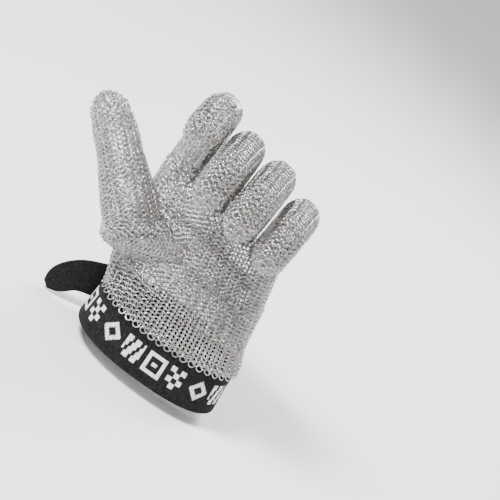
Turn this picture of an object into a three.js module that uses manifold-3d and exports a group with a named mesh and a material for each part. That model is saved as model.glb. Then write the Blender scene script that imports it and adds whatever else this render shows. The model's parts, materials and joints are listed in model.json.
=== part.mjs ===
// A left-hand chain mail glove, closed in a grip round an empty space, with a woven wrist strap.
// Millimetres. +Z runs up the axis of the wrist opening, -Y is the palm side and -X the thumb side.
// The origin is the middle of the wrist opening, level with the strap's lower edge.
// Each stretch of ring fabric is a thin shell of the fabric's thickness. Stretches that stay in shape
// are sleeves, and the knuckle stretches between them are the ones that bend.

import * as THREE from 'three';
import { mergeVertices } from 'three/addons/utils/BufferGeometryUtils.js';
import Module from 'manifold-3d';

// Ring fabric
const MAIL = 1.5; // thickness of the fabric over its crossing rings
const GAP = 0.3; // clearance between neighbouring pieces
const END_GAP = 1.5 * GAP; // the same along a digit, where the ends are slanted
const SIDE_GAP = 2 * GAP; // the same along the hand's two sides
const WRIST_EXTENSION = 19; // degrees by which the hand leans back from the wrist opening's axis

// Wrist strap, measured on its outer face
const STRAP_WIDTH = 22;
const WRIST_HALF_WIDTH = 39.8;
const WRIST_HALF_DEPTH = 27.5;
const WRIST_TURN = 8; // degrees by which the wrist's oval is turned about +Z
const WRIST_SQUARENESS = 2.3; // 2 is an ellipse
const STRAP_TAPER = 1.8; // how much closer to the wrist the strap's upper edge lies
const STRAP_SHIFT = 1.4; // how far towards the thumb the strap's upper edge lies
const WEBBING = 1.2; // thickness of the woven band
const TAPE = 0.8; // thickness of the hook tape and of the loop tape
const TAPE_MARGIN = 1.5; // from the tapes' edges to the webbing's edges
const RIM_OVERLAP = 2; // how far the palm's mail hangs down over the strap

// Places round the wrist, in degrees from +X towards the back of the hand
const BAND_START = 58;
const BAND_END = 396;
const FOLD = 1.5; // of free turn at the fold where the flap peels back
const FLAP_START = BAND_END + FOLD;
const FLAP_CLIMBED = 360 + BAND_START - 1; // where the flap has risen over the start of the band
const FLAP_END = 490;
const TAPE_START = BAND_START + 3;
const TAPE_END = FLAP_END - 360 - 2;

// Free tail of the strap: the middle of its route outwards, measured from the flap's end
const TAIL_ROUTE = [[-9.26, -6.17, -0.4], [-20.26, -11.17, -4.6], [-28.76, -15.67, -15.6]];
const TAIL_TWIST = 30; // degrees that the tail turns about its own length
const TAIL_GAP = 0.9; // along the strap, where the tail starts to fold away from the flap
const TAIL_END_WIDTH = 15; // width just before the rounded end
const TAIL_STEPS = 14;
const TAIL_ROUND_STEPS = 4; // the last of them, which form the rounded end
const TAIL_ROUNDING = 0.96; // 1 would bring the end to a point

// Palm
const PALM_HALF_DEPTH = 13; // at the knuckles
const KNUCKLE_LINE_HEIGHT = 86; // height of the index finger's base hinge up the hand
const KNUCKLE_LINE_SLOPE = -0.15; // height lost for each millimetre towards the little finger
const KNUCKLE_SQUARENESS = 3.4;
// Sections between the strap and the knuckles. left and right are its two sides, as distances in
// from the outermost fingers, towards the back and above the strap.
const PALM_SECTIONS = [
  { left: [7, -4.5, 11], right: [9.5, -3.5, 10], halfDepth: 25, lean: 19, squareness: 2.2 },
  { left: [4, -1, 24], right: [7, -1, 22], halfDepth: 21.5, lean: 20, squareness: 2.3 },
  { left: [2, 0, 38], right: [3.5, 0, 35], halfDepth: 17.5, lean: 22, squareness: 2.5 },
];

// Fingers: place across the hand, lengths between hinges, flexion at rest, half sizes of the sleeves
const FINGER_HALF_WIDTH = 9.45;
const FINGER_HALF_DEPTH = 10.8;
const FINGER_TAPER = 0.4; // half depth lost from one stretch to the next
const FINGER_NARROWING = 0.24; // half width lost from one stretch to the next
const DIGIT_SQUARENESS = 2.2;
const FINGER_CLEARANCE = 0.4; // between neighbouring fingers
const SHORTEST_SLEEVE = 1; // straight stretch on the front of a tip
const STRAIGHT_STEP = 0.75; // from a hinge to the sleeve ends that meet there, when they are closest
// Degrees that the base, middle and end hinges of a finger stretch back past straight and close to
const FINGER_LIMITS = [{ back: 0, full: 85 }, { back: 0, full: 90 }, { back: 0, full: 66 }];
const FINGER_SPACING = 2 * FINGER_HALF_WIDTH + FINGER_CLEARANCE;
const HAND_SHIFT = -14.65; // of the middle of the fingers from the wrist's axis
const FINGERS = [
  { name: 'index', lengths: [41, 24, 21.5], bends: [52, 45, 43] },
  { name: 'middle', lengths: [44, 26, 21], bends: [62, 56, 54] },
  { name: 'ring', lengths: [44, 26, 22], bends: [60, 57, 55] },
  { name: 'little', lengths: [35, 22, 21], bends: [58, 58, 56] },
].map((finger, i) => ({ ...finger, x: HAND_SHIFT + (i - 1.5) * FINGER_SPACING }));
const THUMB_SIDE = FINGERS[0].x - FINGER_HALF_WIDTH - GAP;
const FAR_SIDE = FINGERS.at(-1).x + FINGER_HALF_WIDTH + GAP;

// Thumb: its root hinge, from the hand's thumb side and above the strap, the way its first bone
// points and the way its pad faces
const THUMB_ROOT = [30.85, -14, 0.5];
const THUMB_AXIS = [-26, -15, 28];
const THUMB_PAD = [0.25, -0.9, 0.3];
const THUMB_LENGTHS = [41, 32, 24.5];
const THUMB_BENDS = [-14, -10];
const THUMB_LIMITS = [{ back: 18, full: 40 }, { back: 14, full: 70 }];
const THUMB_HALF_WIDTHS = [14.2, 11, 9.6]; // at the middle hinge, the end hinge and the tip
const THUMB_HALF_DEPTHS = [12.5, 10.3, 9.4];
// Sections of the ball of the thumb, placed as the root hinge is. The first lies inside the palm.
const BALL_INSIDE = { left: [24.35, 0, 8], right: [39.35, 4, 32], halfDepth: 12 };
const BALL_HEEL = { left: [15.35, -12, 9], right: [30.35, -8, 35], halfDepth: 15 };
const BALL_WEB = { left: [-0.15, -24, 11], right: [20.35, -24.5, 35.5], halfDepth: 13.4 };

// How finely the shells are faceted
const ROUND_DIGIT = 14;
const ROUND_THUMB_BASE = 2 * ROUND_DIGIT;
const ROUND_PALM = 44;
const RIM_HEIGHT = STRAP_WIDTH - RIM_OVERLAP;

const X_AXIS = new THREE.Vector3(1, 0, 0);
const Z_AXIS = new THREE.Vector3(0, 0, 1);
const rad = THREE.MathUtils.degToRad;
const vec = (x, y, z) => new THREE.Vector3(x, y, z);
const mix = (a, b, t) => a + (b - a) * t;
const signedPower = (value, power) => Math.sign(value) * Math.abs(value) ** power;

const wasm = await Module();
wasm.setup();

const steel = new THREE.MeshStandardMaterial({ color: 0xb4b7bb, metalness: 0.9, roughness: 0.35 });
const webbing = new THREE.MeshStandardMaterial({ color: 0x1c1c1f, metalness: 0, roughness: 0.85 });
const loopTape = new THREE.MeshStandardMaterial({ color: 0x242427, metalness: 0, roughness: 0.95 });
const hookTape = new THREE.MeshStandardMaterial({ color: 0x161618, metalness: 0, roughness: 0.7 });

// ---------------------------------------------------------------------------- surfaces

// Makes a geometry from points and triangles, turned so that its faces point out.
function closedGeometry(points, triangles) {
  let volume = 0;
  for (const [a, b, c] of triangles) {
    volume += points[a].dot(points[b].clone().cross(points[c]));
  }
  const order = volume < 0 ? [0, 2, 1] : [0, 1, 2];
  const geometry = new THREE.BufferGeometry();
  const flat = points.flatMap((p) => [p.x, p.y, p.z]);
  geometry.setAttribute('position', new THREE.Float32BufferAttribute(flat, 3));
  geometry.setIndex(triangles.flatMap((t) => order.map((i) => t[i])));
  return geometry;
}

// Two triangles between neighbours i and j of row a and row b, where rows start at these indices.
function quad(triangles, a, b, i, j) {
  triangles.push([a + i, a + j, b + j], [a + i, b + j, b + i]);
}

// A shell between outer and inner closed loops, open at both ends.
function tube(outer, inner) {
  const rows = [...outer, ...[...inner].reverse()];
  const count = rows[0].length;
  const triangles = [];
  rows.forEach((row, k) => {
    const next = ((k + 1) % rows.length) * count;
    row.forEach((_, i) => quad(triangles, k * count, next, i, (i + 1) % count));
  });
  return closedGeometry(rows.flat(), triangles);
}

// A surface over closed loops with a pole at each end: a cup's two skins, or a solid plug.
function capped(firstPole, rows, lastPole) {
  const count = rows[0].length;
  const points = [...rows.flat(), firstPole, lastPole];
  const first = points.length - 2;
  const end = (rows.length - 1) * count;
  const triangles = [];
  rows.slice(1).forEach((row, k) => {
    row.forEach((_, i) => quad(triangles, k * count, (k + 1) * count, i, (i + 1) % count));
  });
  rows[0].forEach((_, i) => {
    const j = (i + 1) % count;
    triangles.push([first, j, i], [first + 1, end + i, end + j]);
  });
  return closedGeometry(points, triangles);
}

// A strip between outer and inner open rows, closed along its edges and over its two ends.
function strip(outer, inner) {
  const width = outer[0].length;
  const rows = outer.map((row, k) => [...row, ...[...inner[k]].reverse()]);
  const count = 2 * width;
  const last = (rows.length - 1) * count;
  const triangles = [];
  rows.slice(1).forEach((row, k) => {
    row.forEach((_, i) => quad(triangles, k * count, (k + 1) * count, i, (i + 1) % count));
  });
  for (let i = 0; i + 1 < width; i++) {
    const opposite = count - 1 - i;
    triangles.push([i, opposite, i + 1], [opposite, opposite - 1, i + 1]);
    triangles.push(
      [last + i, last + i + 1, last + opposite],
      [last + opposite, last + i + 1, last + opposite - 1],
    );
  }
  return closedGeometry(rows.flat(), triangles);
}

// A cross-section: its middle, half its width as a vector, half its depth as a vector, and how
// square its corners are (2 is an ellipse).
function section(middle, across, deep, squareness = 2) {
  return { middle, across, deep, squareness };
}

// Points round a cross-section moved in by inset, from turn 'from' to turn 'to' in radians.
function outline(s, inset, count, from = 0, to = 2 * Math.PI) {
  const across = s.across.clone().setLength(s.across.length() - inset);
  const deep = s.deep.clone().setLength(s.deep.length() - inset);
  const whole = to - from > 2 * Math.PI - 1e-9;
  return Array.from({ length: count }, (_, i) => {
    const turn = from + ((to - from) * i) / (whole ? count : count - 1);
    const [c, d] = [Math.cos(turn), Math.sin(turn)];
    return s.middle
      .clone()
      .addScaledVector(across, signedPower(c, 2 / s.squareness))
      .addScaledVector(deep, signedPower(d, 2 / s.squareness));
  });
}

function between(a, b, t) {
  return section(
    a.middle.clone().lerp(b.middle, t),
    a.across.clone().lerp(b.across, t),
    a.deep.clone().lerp(b.deep, t),
    mix(a.squareness, b.squareness, t),
  );
}

// Smooth cross-sections through the given ones, 'steps' to each stretch.
function smoothed(sections, steps) {
  const curve = (key) => new THREE.CatmullRomCurve3(sections.map((s) => s[key]));
  const [middle, across, deep] = ['middle', 'across', 'deep'].map(curve);
  const stretches = sections.length - 1;
  return Array.from({ length: stretches * steps + 1 }, (_, k) => {
    const t = k / (stretches * steps);
    const i = Math.min(Math.floor(k / steps), stretches - 1);
    const squareness = mix(sections[i].squareness, sections[i + 1].squareness, k / steps - i);
    return section(middle.getPoint(t), across.getPoint(t), deep.getPoint(t), squareness);
  });
}

function shell(sections, count) {
  return tube(
    sections.map((s) => outline(s, 0, count)),
    sections.map((s) => outline(s, MAIL, count)),
  );
}

function plug(sections, inset, count) {
  const rows = sections.map((s) => outline(s, inset, count));
  return capped(sections[0].middle, rows, sections.at(-1).middle);
}

// ---------------------------------------------------------------------------- solids

function toSolid(geometry) {
  const bare = geometry.clone();
  bare.deleteAttribute('normal');
  bare.deleteAttribute('uv');
  const merged = mergeVertices(bare, 1e-4);
  const mesh = new wasm.Mesh({
    numProp: 3,
    vertProperties: new Float32Array(merged.attributes.position.array),
    triVerts: new Uint32Array(merged.index.array),
  });
  return new wasm.Manifold(mesh);
}

// The largest body of a solid, without the slivers that a cut can leave beside it.
function toGeometry(solid) {
  const bodies = solid.decompose().sort((a, b) => b.volume() - a.volume());
  const mesh = bodies[0].getMesh();
  const geometry = new THREE.BufferGeometry();
  geometry.setAttribute('position', new THREE.BufferAttribute(mesh.vertProperties, 3));
  geometry.setIndex(new THREE.BufferAttribute(mesh.triVerts, 1));
  return geometry;
}

function named(name, geometry, material) {
  const shaded = geometry.index ? geometry.toNonIndexed() : geometry;
  shaded.computeVertexNormals();
  const mesh = new THREE.Mesh(shaded, material);
  mesh.name = name;
  return mesh;
}

// ---------------------------------------------------------------------------- wrist strap

// A point on the strap's outer face at a turn round the wrist, a height, and a distance outwards.
function onStrap(degrees, height, out) {
  const [c, d] = [Math.cos(rad(degrees)), Math.sin(rad(degrees))];
  const up = height / STRAP_WIDTH;
  const [a, b] = [WRIST_HALF_WIDTH - STRAP_TAPER * up, WRIST_HALF_DEPTH - STRAP_TAPER * up];
  const power = 2 / WRIST_SQUARENESS;
  const point = vec(a * signedPower(c, power), b * signedPower(d, power), 0);
  const outward = vec(signedPower(c, 2 - power) / a, signedPower(d, 2 - power) / b, 0);
  point.addScaledVector(outward.normalize(), out).applyAxisAngle(Z_AXIS, rad(WRIST_TURN));
  return point.add(vec(-STRAP_SHIFT * up, 0, height));
}

// A band round the wrist. 'outerFace' gives how far out its outer face lies at each turn.
function wristBand(from, to, lower, upper, thickness, outerFace) {
  const steps = Math.max(4, Math.round(Math.abs(to - from) / 9));
  const turns = Array.from({ length: steps + 1 }, (_, k) => mix(from, to, k / steps));
  const row = (turn, out) => [onStrap(turn, lower, out), onStrap(turn, upper, out)];
  return strip(
    turns.map((turn) => row(turn, outerFace(turn))),
    turns.map((turn) => row(turn, outerFace(turn) - thickness)),
  );
}

const LOOP_FACE = GAP + TAPE;
const HOOK_FACE = LOOP_FACE + GAP + TAPE;
const FLAP_FACE = HOOK_FACE + GAP + WEBBING;
const flapFace = (turn) => FLAP_FACE * THREE.MathUtils.smoothstep(turn, FLAP_START, FLAP_CLIMBED);

function tailGeometry() {
  const start = onStrap(FLAP_END, STRAP_WIDTH / 2, FLAP_FACE - WEBBING / 2);
  const before = onStrap(FLAP_END - 8, STRAP_WIDTH / 2, FLAP_FACE - WEBBING / 2);
  const along = start.clone().sub(before).normalize();
  const route = TAIL_ROUTE.map((p) => vec(...p).add(start));
  const curve = new THREE.CatmullRomCurve3([start.addScaledVector(along, TAIL_GAP), ...route]);
  const straight = TAIL_STEPS - TAIL_ROUND_STEPS;
  const outer = [];
  const inner = [];
  for (let k = 0; k <= TAIL_STEPS; k++) {
    const t = k / TAIL_STEPS;
    const tangent = curve.getTangent(t);
    const up = vec(0, 0, 1).addScaledVector(tangent, -tangent.z).normalize();
    up.applyAxisAngle(tangent, rad(TAIL_TWIST) * t * t);
    const face = new THREE.Vector3().crossVectors(tangent, up);
    const width = mix(STRAP_WIDTH, TAIL_END_WIDTH, Math.min(1, k / straight));
    const turned = (TAIL_ROUNDING * Math.max(0, k - straight)) / TAIL_ROUND_STEPS;
    const half = up.multiplyScalar((width / 2) * Math.sqrt(1 - turned ** 2));
    const middle = curve.getPoint(t);
    const side = (sign) => middle.clone().addScaledVector(face, (sign * WEBBING) / 2);
    outer.push([side(1).sub(half), side(1).add(half)]);
    inner.push([side(-1).sub(half), side(-1).add(half)]);
  }
  return strip(outer, inner);
}

function wristStrap() {
  const strap = new THREE.Group();
  const [low, high] = [TAPE_MARGIN, STRAP_WIDTH - TAPE_MARGIN];
  const band = wristBand(BAND_START, BAND_END, 0, STRAP_WIDTH, WEBBING, () => 0);
  const loop = wristBand(TAPE_START, TAPE_END, low, high, TAPE, () => LOOP_FACE);
  const hook = wristBand(TAPE_START, TAPE_END, low, high, TAPE, () => HOOK_FACE);
  const flap = wristBand(FLAP_START, FLAP_END, 0, STRAP_WIDTH, WEBBING, flapFace);
  strap.add(named('wrist_strap_band', band, webbing));
  strap.add(named('strap_loop_tape', loop, loopTape));
  strap.add(named('strap_hook_tape', hook, hookTape));
  strap.add(named('strap_flap', flap, webbing));
  strap.add(named('strap_tail', tailGeometry(), webbing));
  return strap;
}

// ---------------------------------------------------------------------------- palm and back

// From here on, places are in the hand's axes: x across, y towards the back of the hand, z up it.
const toHand = (p) => p.applyAxisAngle(X_AXIS, rad(WRIST_EXTENSION));
const knuckleHeight = (x) => KNUCKLE_LINE_HEIGHT + KNUCKLE_LINE_SLOPE * (x - FINGERS[0].x);
// How far the fabric stays back from a hinge on one face, so that the hinge can turn to this limit.
const stepBack = (halfDepth, limit) => halfDepth * Math.tan(rad(limit / 2)) + STRAIGHT_STEP;

// The mail's lower rim at a height up the wrist, just outside the strap.
function rimSection(height) {
  const out = GAP + MAIL;
  const [right, left] = [onStrap(0, height, out), onStrap(180, height, out)];
  const [rear, front] = [onStrap(90, height, out), onStrap(270, height, out)];
  const middle = right.clone().add(left).multiplyScalar(0.5);
  const across = right.sub(left).multiplyScalar(0.5);
  const deep = rear.sub(front).multiplyScalar(0.5);
  return section(toHand(middle), toHand(across), toHand(deep), WRIST_SQUARENESS);
}

// A cross-section of the palm from its thumb side to its little-finger side.
function palmSection({ left, right, halfDepth, lean, squareness }) {
  const from = vec(THUMB_SIDE + left[0], left[1], STRAP_WIDTH + left[2]);
  const to = vec(FAR_SIDE + right[0], right[1], STRAP_WIDTH + right[2]);
  const across = to.clone().sub(from).multiplyScalar(0.5);
  const deep = vec(0, Math.cos(rad(lean)), Math.sin(rad(lean))).multiplyScalar(halfDepth);
  return section(from.add(across), across, deep, squareness);
}

function palmSections(rim) {
  const reach = stepBack(PALM_HALF_DEPTH, FINGER_LIMITS[0].full);
  const lean = THREE.MathUtils.radToDeg(
    Math.atan((reach - STRAIGHT_STEP) / (2 * PALM_HALF_DEPTH)),
  );
  const drop = (reach + STRAIGHT_STEP) / 2;
  const topHeight = (x) => knuckleHeight(x) - drop - STRAP_WIDTH;
  return [
    rimSection(rim),
    rimSection(STRAP_WIDTH + RIM_OVERLAP),
    ...PALM_SECTIONS.map(palmSection),
    palmSection({
      left: [0, 0, topHeight(THUMB_SIDE)],
      right: [0, 0, topHeight(FAR_SIDE)],
      halfDepth: PALM_HALF_DEPTH / Math.cos(rad(lean)),
      lean,
      squareness: KNUCKLE_SQUARENESS,
    }),
  ];
}

function halfShell(rim, from, to) {
  const sections = smoothed(palmSections(rim), 2);
  const count = ROUND_PALM / 2;
  return strip(
    sections.map((s) => outline(s, 0, count, from, to)),
    sections.map((s) => outline(s, MAIL, count, from, to)),
  );
}

// ---------------------------------------------------------------------------- digits

// A cross-section of a digit in its own axes: z along it and y towards its back. 'back' and 'front'
// are the places of its back and palm-side points, as [y, z], and slant tilts it across.
function digitSection(back, front, halfWidth, squareness = DIGIT_SQUARENESS, slant = 0) {
  const middle = vec(0, (back[0] + front[0]) / 2, (back[1] + front[1]) / 2);
  const deep = vec(0, (back[0] - front[0]) / 2, (back[1] - front[1]) / 2);
  return section(middle, vec(halfWidth, 0, halfWidth * slant), deep, squareness);
}

// Turns a place [y, z] about a hinge by a flexion in degrees.
function bent([y, z], degrees) {
  const turn = rad(degrees);
  return [y * Math.cos(turn) - z * Math.sin(turn), y * Math.sin(turn) + z * Math.cos(turn)];
}

// The stretch that bends over a hinge. 'from' and 'to' give the half sizes on its two sides.
function knuckle(from, to, bend, limits, slant) {
  const step = (size) => stepBack(size.depth, limits.back) - END_GAP;
  const reach = (size) => stepBack(size.depth, limits.full) - END_GAP;
  const start = [-from.depth, -reach(from)];
  const finish = bent([-to.depth, reach(to)], bend);
  const crease = bent([-(from.depth + to.depth) / 2 / Math.cos(rad(bend / 2)), 0], bend / 2);
  const steps = 4;
  const sections = Array.from({ length: steps + 1 }, (_, k) => {
    const t = k / steps;
    const depth = mix(from.depth, to.depth, t);
    const back = bent([depth, mix(-step(from), step(to), t)], bend * t);
    const front = [0, 1].map(
      (i) => (1 - t) ** 2 * start[i] + 2 * t * (1 - t) * crease[i] + t ** 2 * finish[i],
    );
    const squareness = mix(from.squareness ?? DIGIT_SQUARENESS, DIGIT_SQUARENESS, t);
    return digitSection(back, front, mix(from.width, to.width, t), squareness, slant * (1 - t));
  });
  return shell(sections, ROUND_DIGIT);
}

// A stretch's end just past the hinge it turns on, and its end just before the next hinge.
function nearEnd({ width, depth }, { back, full }) {
  return digitSection([depth, stepBack(depth, back)], [-depth, stepBack(depth, full)], width);
}

function farEnd({ width, depth }, length, { back, full }) {
  const [top, bottom] = [length - stepBack(depth, back), length - stepBack(depth, full)];
  return digitSection([depth, top], [-depth, bottom], width);
}

// The stretch between two hinges 'length' apart.
function sleeve(near, far, length, nearLimits, farLimits) {
  return shell([nearEnd(near, nearLimits), farEnd(far, length, farLimits)], ROUND_DIGIT);
}

// The closed stretch past the last hinge: a sleeve up to a neck, and a rounded end.
function tip(near, far, length, limits) {
  const shortest = stepBack(near.depth, limits.full) + SHORTEST_SLEEVE;
  const neck = Math.max(length - far.depth, shortest);
  const at = (height, size) => {
    const half = far.depth * size;
    return digitSection([half, height], [-half, height], far.width * size);
  };
  const rows = [nearEnd(near, limits), at(neck, 1)];
  for (const degrees of [25, 48, 70]) {
    rows.push(at(neck + (length - neck) * Math.sin(rad(degrees)), Math.cos(rad(degrees))));
  }
  const inner = rows.map((s) => outline(s, MAIL, ROUND_DIGIT));
  inner.slice(2).forEach((row) => row.forEach((p) => (p.z -= 0.8 * MAIL)));
  const outer = rows.map((s) => outline(s, 0, ROUND_DIGIT));
  const skins = [...inner.reverse(), ...outer];
  return capped(vec(0, 0, length - MAIL), skins, vec(0, 0, length));
}

// A hinge: what is added to it turns with the flexion at rest.
function hinge(name, parent, height, bend) {
  const group = new THREE.Group();
  group.name = name;
  group.position.z = height;
  group.rotation.x = rad(bend);
  parent.add(group);
  return group;
}

function addFinger(hand, finger) {
  const { name, x, lengths, bends } = finger;
  const sizes = [0, 1, 2, 3].map((i) => ({
    width: FINGER_HALF_WIDTH - FINGER_NARROWING * i,
    depth: FINGER_HALF_DEPTH - FINGER_TAPER * i,
  }));
  const palm = {
    width: FINGER_HALF_WIDTH,
    depth: PALM_HALF_DEPTH,
    squareness: KNUCKLE_SQUARENESS,
  };
  const root = new THREE.Group();
  root.position.set(x, 0, knuckleHeight(x));
  hand.add(root);
  const before = [palm, sizes[1], sizes[2]];
  let parent = root;
  let height = 0;
  ['base', 'middle', 'end'].forEach((which, i) => {
    const slant = i === 0 ? KNUCKLE_LINE_SLOPE : 0;
    const over = knuckle(before[i], sizes[i], bends[i], FINGER_LIMITS[i], slant);
    const overMesh = named(`${name}_${which}_knuckle_mail`, over, steel);
    overMesh.position.z = height;
    parent.add(overMesh);
    const joint = hinge(`${name}_${which}`, parent, height, bends[i]);
    if (i < 2) {
      const [near, far] = [FINGER_LIMITS[i], FINGER_LIMITS[i + 1]];
      const stretch = sleeve(sizes[i], sizes[i + 1], lengths[i], near, far);
      joint.add(named(`${name}_${which}_mail`, stretch, steel));
    } else {
      const end = tip(sizes[i], sizes[i + 1], lengths[i], FINGER_LIMITS[i]);
      joint.add(named(`${name}_tip_mail`, end, steel));
    }
    parent = joint;
    height = lengths[i];
  });
}

// ---------------------------------------------------------------------------- thumb

// A place given from the hand's thumb side, towards its back and above the strap.
const nearThumb = ([x, y, z]) => vec(THUMB_SIDE + x, y, STRAP_WIDTH + z);

// The thumb's own axes at its root hinge: z along its first bone, y towards its back.
function thumbFrame() {
  const z = vec(...THUMB_AXIS).normalize();
  const pad = vec(...THUMB_PAD);
  const y = pad.addScaledVector(z, -pad.dot(z)).normalize().negate();
  const x = new THREE.Vector3().crossVectors(y, z);
  return new THREE.Matrix4().makeBasis(x, y, z).setPosition(nearThumb(THUMB_ROOT));
}

const thumbSize = (i) => ({ width: THUMB_HALF_WIDTHS[i], depth: THUMB_HALF_DEPTHS[i] });

// A cross-section of the ball of the thumb, from its wrist side to its web side, square to the thumb.
function ballSection({ left, right, halfDepth }, along) {
  const across = nearThumb(right).sub(nearThumb(left)).multiplyScalar(0.5);
  const deep = new THREE.Vector3().crossVectors(along, across).setLength(halfDepth);
  return section(nearThumb(left).add(across), across, deep, DIGIT_SQUARENESS);
}

// Cross-sections from inside the palm over the ball of the thumb to its middle hinge.
function ballSections(frame) {
  const size = thumbSize(0);
  const top = THUMB_LENGTHS[0];
  const end = farEnd(size, top, THUMB_LIMITS[0]);
  const turn = new THREE.Matrix3().setFromMatrix4(frame);
  end.middle.applyMatrix4(frame);
  end.across.applyMatrix3(turn);
  end.deep.applyMatrix3(turn);
  const along = vec(...THUMB_AXIS).normalize();
  const [inside, heel, web] = [BALL_INSIDE, BALL_HEEL, BALL_WEB].map((s) => ballSection(s, along));
  return { along, inside, heel, web, end };
}

// ---------------------------------------------------------------------------- the glove

function glove() {
  const group = new THREE.Group();
  group.add(wristStrap());

  const hand = new THREE.Group();
  hand.rotation.x = -rad(WRIST_EXTENSION);
  group.add(hand);

  const frame = thumbFrame();
  const { along, inside, heel, web, end } = ballSections(frame);
  const ball = smoothed([inside, heel, web], 3);
  const ballCavity = toSolid(plug(ball, MAIL, ROUND_THUMB_BASE));
  const ballShell = toSolid(shell(ball, ROUND_THUMB_BASE));
  const palmSolid = toSolid(plug(smoothed(palmSections(RIM_HEIGHT), 2), -GAP, ROUND_PALM));
  const seam = SIDE_GAP / 2 / WRIST_HALF_WIDTH; // as an angle, in radians
  const palmHalf = toSolid(halfShell(RIM_HEIGHT, Math.PI + seam, 2 * Math.PI - seam));
  const backHalf = toSolid(halfShell(STRAP_WIDTH + GAP, seam, Math.PI - seam));
  hand.add(named('palm_mail', toGeometry(palmHalf.subtract(ballCavity)), steel));
  hand.add(named('back_mail', toGeometry(backHalf.subtract(ballCavity)), steel));
  hand.add(named('thumb_ball_mail', toGeometry(ballShell.subtract(palmSolid)), steel));
  const above = web.middle.clone().addScaledVector(along, END_GAP);
  const webAbove = section(above, web.across, web.deep, web.squareness);
  const base = [webAbove, between(webAbove, end, 0.5), end];
  hand.add(named('thumb_base_mail', shell(base, ROUND_THUMB_BASE), steel));

  const thumb = new THREE.Group();
  thumb.name = 'thumb_root';
  thumb.applyMatrix4(frame);
  hand.add(thumb);
  const [length, next, last] = THUMB_LENGTHS;
  const over = knuckle(thumbSize(0), thumbSize(0), THUMB_BENDS[0], THUMB_LIMITS[0], 0);
  const overMesh = named('thumb_middle_knuckle_mail', over, steel);
  overMesh.position.z = length;
  thumb.add(overMesh);
  const second = hinge('thumb_middle', thumb, length, THUMB_BENDS[0]);
  const stretch = sleeve(thumbSize(0), thumbSize(1), next, ...THUMB_LIMITS);
  second.add(named('thumb_middle_mail', stretch, steel));
  const overEnd = knuckle(thumbSize(1), thumbSize(1), THUMB_BENDS[1], THUMB_LIMITS[1], 0);
  const endMesh = named('thumb_end_knuckle_mail', overEnd, steel);
  endMesh.position.z = next;
  second.add(endMesh);
  const third = hinge('thumb_end', second, next, THUMB_BENDS[1]);
  const closed = tip(thumbSize(1), thumbSize(2), last, THUMB_LIMITS[1]);
  third.add(named('thumb_tip_mail', closed, steel));

  FINGERS.forEach((finger) => addFinger(hand, finger));
  return group;
}

const group = glove();
export default group;
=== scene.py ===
"""A chain mail glove: thousands of linked steel rings laid over the CAD skins, and a woven wrist strap.

Metres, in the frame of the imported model: +Z up the wrist, -Y the palm side, -X the thumb side.
"""

import json
import math

import bpy
import numpy as np
from mathutils import Matrix, Vector
from mathutils.bvhtree import BVHTree


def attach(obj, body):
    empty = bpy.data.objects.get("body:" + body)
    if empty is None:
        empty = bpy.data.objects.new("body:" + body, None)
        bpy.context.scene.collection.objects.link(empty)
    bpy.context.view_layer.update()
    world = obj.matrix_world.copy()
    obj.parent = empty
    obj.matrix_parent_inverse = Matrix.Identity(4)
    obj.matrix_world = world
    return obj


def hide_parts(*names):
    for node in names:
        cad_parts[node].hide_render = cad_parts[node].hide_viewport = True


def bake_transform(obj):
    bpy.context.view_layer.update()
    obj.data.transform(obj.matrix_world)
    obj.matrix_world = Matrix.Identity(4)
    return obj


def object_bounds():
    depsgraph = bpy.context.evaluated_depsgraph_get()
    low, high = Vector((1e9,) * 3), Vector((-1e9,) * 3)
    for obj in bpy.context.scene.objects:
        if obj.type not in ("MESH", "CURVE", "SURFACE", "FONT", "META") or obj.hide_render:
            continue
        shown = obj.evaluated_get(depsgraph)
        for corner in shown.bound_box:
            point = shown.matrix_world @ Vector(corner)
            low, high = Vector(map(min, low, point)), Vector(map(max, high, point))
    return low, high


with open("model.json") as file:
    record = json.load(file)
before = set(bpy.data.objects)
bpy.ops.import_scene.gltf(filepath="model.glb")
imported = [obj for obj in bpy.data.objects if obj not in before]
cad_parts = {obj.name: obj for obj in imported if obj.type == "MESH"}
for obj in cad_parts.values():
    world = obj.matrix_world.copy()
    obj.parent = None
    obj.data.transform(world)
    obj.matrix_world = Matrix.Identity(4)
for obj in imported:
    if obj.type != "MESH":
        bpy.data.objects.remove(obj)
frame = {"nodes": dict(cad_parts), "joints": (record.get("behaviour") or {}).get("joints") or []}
cad_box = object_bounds()

MM = 0.001
SEED = 7

# Rings
RING_RADIUS = 1.725 * MM  # to the middle of the wire
WIRE_RADIUS = 0.275 * MM
RING_STEPS = 12
WIRE_SIDES = 5
WELD_BULGE = 1.22  # how much thicker the wire is at its weld
LEAN = math.radians(30)  # of each ring along its column, to alternate sides
LEAN_JITTER = math.radians(2.5)
PLACE_JITTER = 0.05 * MM
ROW_PITCH = 2.62 * MM  # between rings of one column
COLUMN_PITCH = 2.14 * MM  # between neighbouring columns
SKIN_DEPTH = 1.12 * MM  # of the rings' middles under the CAD skin
EDGE_INSET = 0.7 * MM  # how far inside a skin's edge its last loop is read
RIM_RISE = 1.5 * MM  # of the lowest row of rings above the CAD skin's lower rim

SKIN_RANGE = 1.3 * MM  # rings further than this from their own skin are left out
LEAD = 16 * MM  # how far before its first hinge a finger's mail begins
FINGER_REACH = 17 * MM  # longer than any ray from a finger's bone to its skin
THUMB_REACH = 24 * MM
PALM_REACH = 70 * MM
INNER_SIDE = 10.5 * MM  # of a digit, from its bone to the skin inside a bend
BALL_HALF_DEPTH = 13 * MM
PALM_ROWS = 62

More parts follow.
